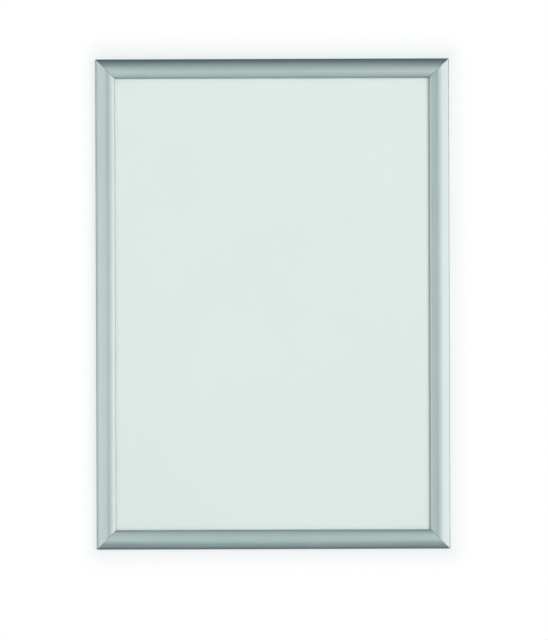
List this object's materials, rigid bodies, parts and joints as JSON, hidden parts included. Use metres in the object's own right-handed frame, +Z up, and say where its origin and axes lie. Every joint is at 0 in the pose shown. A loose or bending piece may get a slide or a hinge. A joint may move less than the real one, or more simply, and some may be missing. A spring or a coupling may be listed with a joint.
{
  "type": "outdoor snap frame",
  "caption": "Upright wall poster frame with mitred satin aluminium bars whose domed covers hinge open to change the poster behind a clear weather sheet.",
  "frame": {"origin": "middle of the wall plane, the flat backs of the four base rails", "axes": "+X to the right seen from the front, +Y into the wall, +Z up; the front faces -Y"},
  "size_m": [0.45, 0.013, 0.624],
  "materials": {
    "satin_aluminium": "satin silver anodised, fine lines along the bar",
    "mill_aluminium": "plain extruded and lightly anodised",
    "key_zinc": "zinc plated steel strip",
    "spring_steel": "blued spring steel strip",
    "black_steel": "black oxide grub screws",
    "seal_rubber": "matt grey rubber",
    "panel_plastic": "pale grey plastic sheet",
    "poster_paper": "blank white insert",
    "clear_sheet": "clear weatherproof sheet with an anti-glare face"
  },
  "bodies": {
    "base": {"back_panel": "panel_plastic", "poster_insert": "poster_paper", "front_sheet": "clear_sheet", "base_rail_bottom": "mill_aluminium", "snap_spring_bottom_1": "spring_steel", "snap_spring_bottom_2": "spring_steel", "base_rail_left": "mill_aluminium", "snap_spring_left_1": "spring_steel", "snap_spring_left_2": "spring_steel", "snap_spring_left_3": "spring_steel", "base_rail_top": "mill_aluminium", "snap_spring_top_1": "spring_steel", "snap_spring_top_2": "spring_steel", "base_rail_right": "mill_aluminium", "snap_spring_right_1": "spring_steel", "snap_spring_right_2": "spring_steel", "snap_spring_right_3": "spring_steel", "corner_key_bottom_left": "key_zinc", "key_screw_bottom_left_1": "black_steel", "key_screw_bottom_left_2": "black_steel", "corner_key_top_left": "key_zinc", "key_screw_top_left_1": "black_steel", "key_screw_top_left_2": "black_steel", "corner_key_top_right": "key_zinc", "key_screw_top_right_1": "black_steel", "key_screw_top_right_2": "black_steel", "corner_key_bottom_right": "key_zinc", "key_screw_bottom_right_1": "black_steel", "key_screw_bottom_right_2": "black_steel"},
    "cover_bottom": {"snap_cover_bottom": "satin_aluminium", "seal_bottom": "seal_rubber"},
    "cover_left": {"snap_cover_left": "satin_aluminium", "seal_left": "seal_rubber"},
    "cover_top": {"snap_cover_top": "satin_aluminium", "seal_top": "seal_rubber"},
    "cover_right": {"snap_cover_right": "satin_aluminium", "seal_right": "seal_rubber"}
  },
  "joints": [
    {"name": "top_cover_hinge", "type": "hinge", "parent": "base", "child": "cover_top", "pos_m": [0, -0.00422, 0.3097], "axis": [-1, 0, 0], "range_deg": [0, 90]},
    {"name": "bottom_cover_hinge", "type": "hinge", "parent": "base", "child": "cover_bottom", "pos_m": [0, -0.00422, -0.3097], "axis": [1, 0, 0], "range_deg": [0, 90]},
    {"name": "left_cover_hinge", "type": "hinge", "parent": "base", "child": "cover_left", "pos_m": [-0.2227, -0.00422, 0], "axis": [0, 0, -1], "range_deg": [0, 90]},
    {"name": "right_cover_hinge", "type": "hinge", "parent": "base", "child": "cover_right", "pos_m": [0.2227, -0.00422, 0], "axis": [0, 0, 1], "range_deg": [0, 90]}
  ]
}
